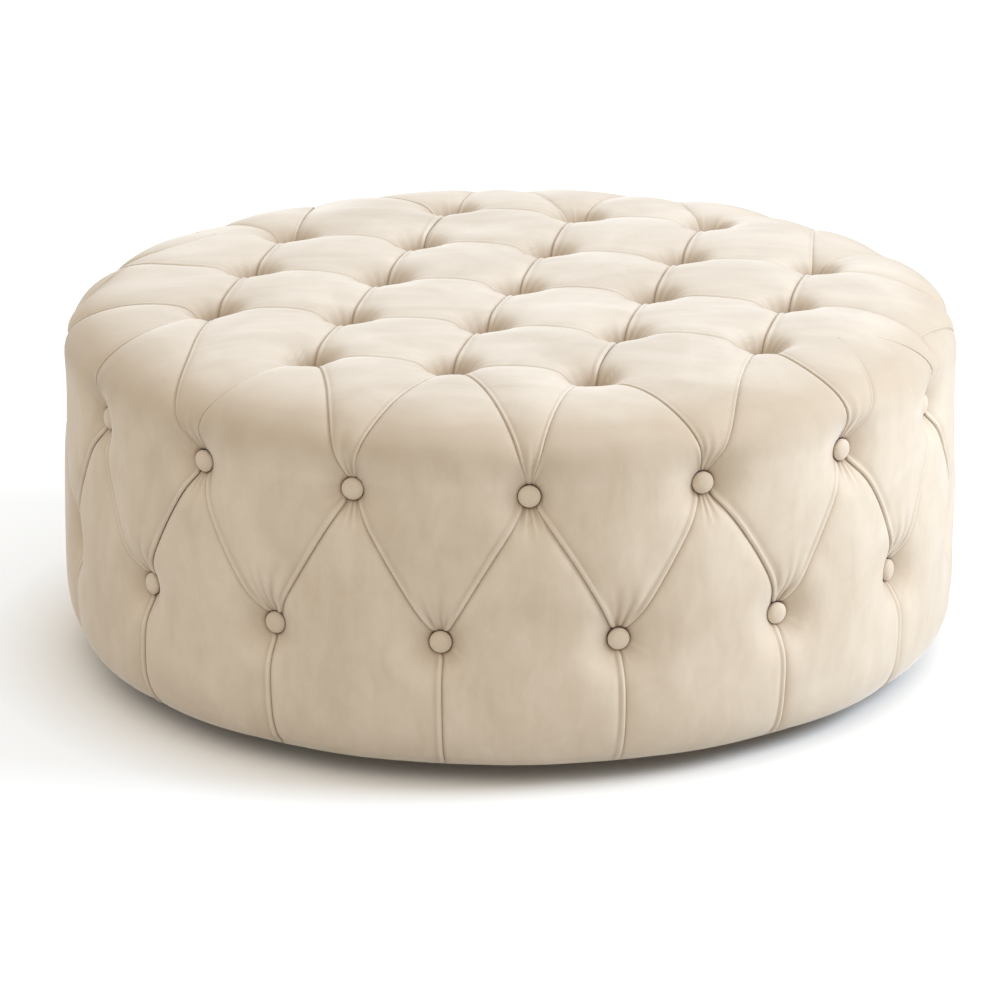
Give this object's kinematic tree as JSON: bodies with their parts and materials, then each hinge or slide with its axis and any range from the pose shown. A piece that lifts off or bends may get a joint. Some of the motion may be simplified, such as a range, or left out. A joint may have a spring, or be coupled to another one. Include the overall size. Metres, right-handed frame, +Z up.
{
  "type": "round storage ottoman",
  "caption": "Round deep-buttoned velvet ottoman whose padded drum lifts straight up as a hood off a low base that carries a round storage bin.",
  "frame": {"origin": "on the floor, under the centre of the round drum", "axes": "+Z up along the drum's axis, front towards -Y, +X to the right seen from the front"},
  "size_m": [1.0171, 1.017, 0.424],
  "materials": {
    "cream_velvet": "soft short-pile velvet",
    "birch_ply": "sanded plywood",
    "pine": "planed pine",
    "black_beech": "black stained, satin",
    "glide_rubber": "matt",
    "zinc_steel": "zinc plated",
    "grey_felt": "pressed felt",
    "cotton_lining": "plain cotton drill",
    "tan_leather": "smooth",
    "upholstery_foam": "open-cell foam",
    "black_tape": "woven tape",
    "linen_twine": "waxed",
    "nylon_toggle": "moulded nylon"
  },
  "bodies": {
    "base": {"base_board": "birch_ply", "feet": "black_beech", "foot_pads": "glide_rubber", "foot_screws": "zinc_steel", "landing_felt": "grey_felt", "bin_wall": "birch_ply", "bin_ring": "birch_ply", "bin_seam_batten": "pine", "bin_floor": "birch_ply", "bin_floor_mat": "grey_felt", "bin_lining": "cotton_lining", "bin_rim_binding": "tan_leather", "guide_blocks": "pine", "base_board_screws": "zinc_steel"},
    "hood": {"hood_wall": "birch_ply", "hood_seam_batten": "pine", "hood_deck": "birch_ply", "top_rail": "birch_ply", "landing_ring": "birch_ply", "hem_ring": "birch_ply", "uprights": "pine", "wall_screws": "zinc_steel", "hem_ring_screws": "zinc_steel", "deck_screws": "zinc_steel", "upright_screws": "zinc_steel", "hood_lining": "cotton_lining", "hood_ceiling": "cotton_lining", "top_foam": "upholstery_foam", "side_foam": "upholstery_foam", "cover_top": "cream_velvet", "cover_panels": "cream_velvet", "hem_tape": "black_tape", "top_buttons": "cream_velvet", "upper_side_buttons": "cream_velvet", "lower_side_buttons": "cream_velvet", "top_twine": "linen_twine", "side_twine": "linen_twine", "top_toggles": "nylon_toggle", "side_toggles": "nylon_toggle"}
  },
  "joints": [
    {"name": "hood_lift", "type": "slide", "parent": "base", "child": "hood", "axis": [0, 0, 1], "range_m": [0, 0.352]}
  ]
}
